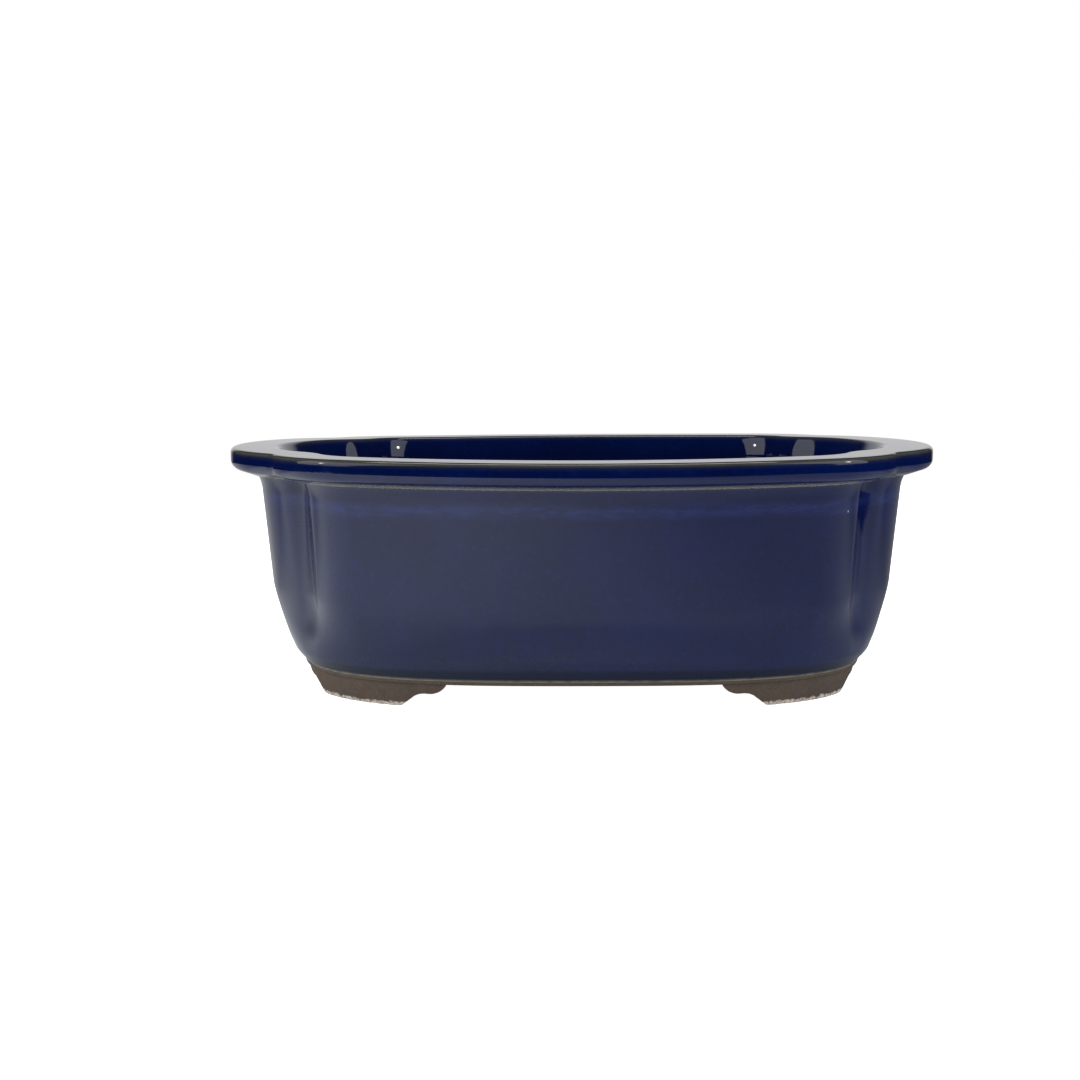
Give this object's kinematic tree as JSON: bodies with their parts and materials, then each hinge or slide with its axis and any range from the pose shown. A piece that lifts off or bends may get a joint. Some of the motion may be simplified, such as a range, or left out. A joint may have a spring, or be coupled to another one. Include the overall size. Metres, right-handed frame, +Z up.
{
  "type": "bonsai pot",
  "caption": "Glazed stoneware bonsai pot: lobed oval body with a flat outward rim, standing on cloud-cut corner feet, with drain and tie-wire holes in its floor.",
  "frame": {"origin": "on the plane the feet stand on, under the middle of the pot", "axes": "+Z up, +X along the pot's length, -Y towards the front long side"},
  "size_m": [0.302, 0.237, 0.099],
  "materials": {
    "clay": "rough unglazed stoneware",
    "glaze": "high gloss"
  },
  "bodies": {
    "root": {"wall": "clay", "bowl": "clay", "floor": "clay", "rim": "clay", "base_band": "clay", "foot_front_left": "clay", "foot_front_right": "clay", "foot_back_left": "clay", "foot_back_right": "clay", "glaze": "glaze"}
  },
  "joints": []
}
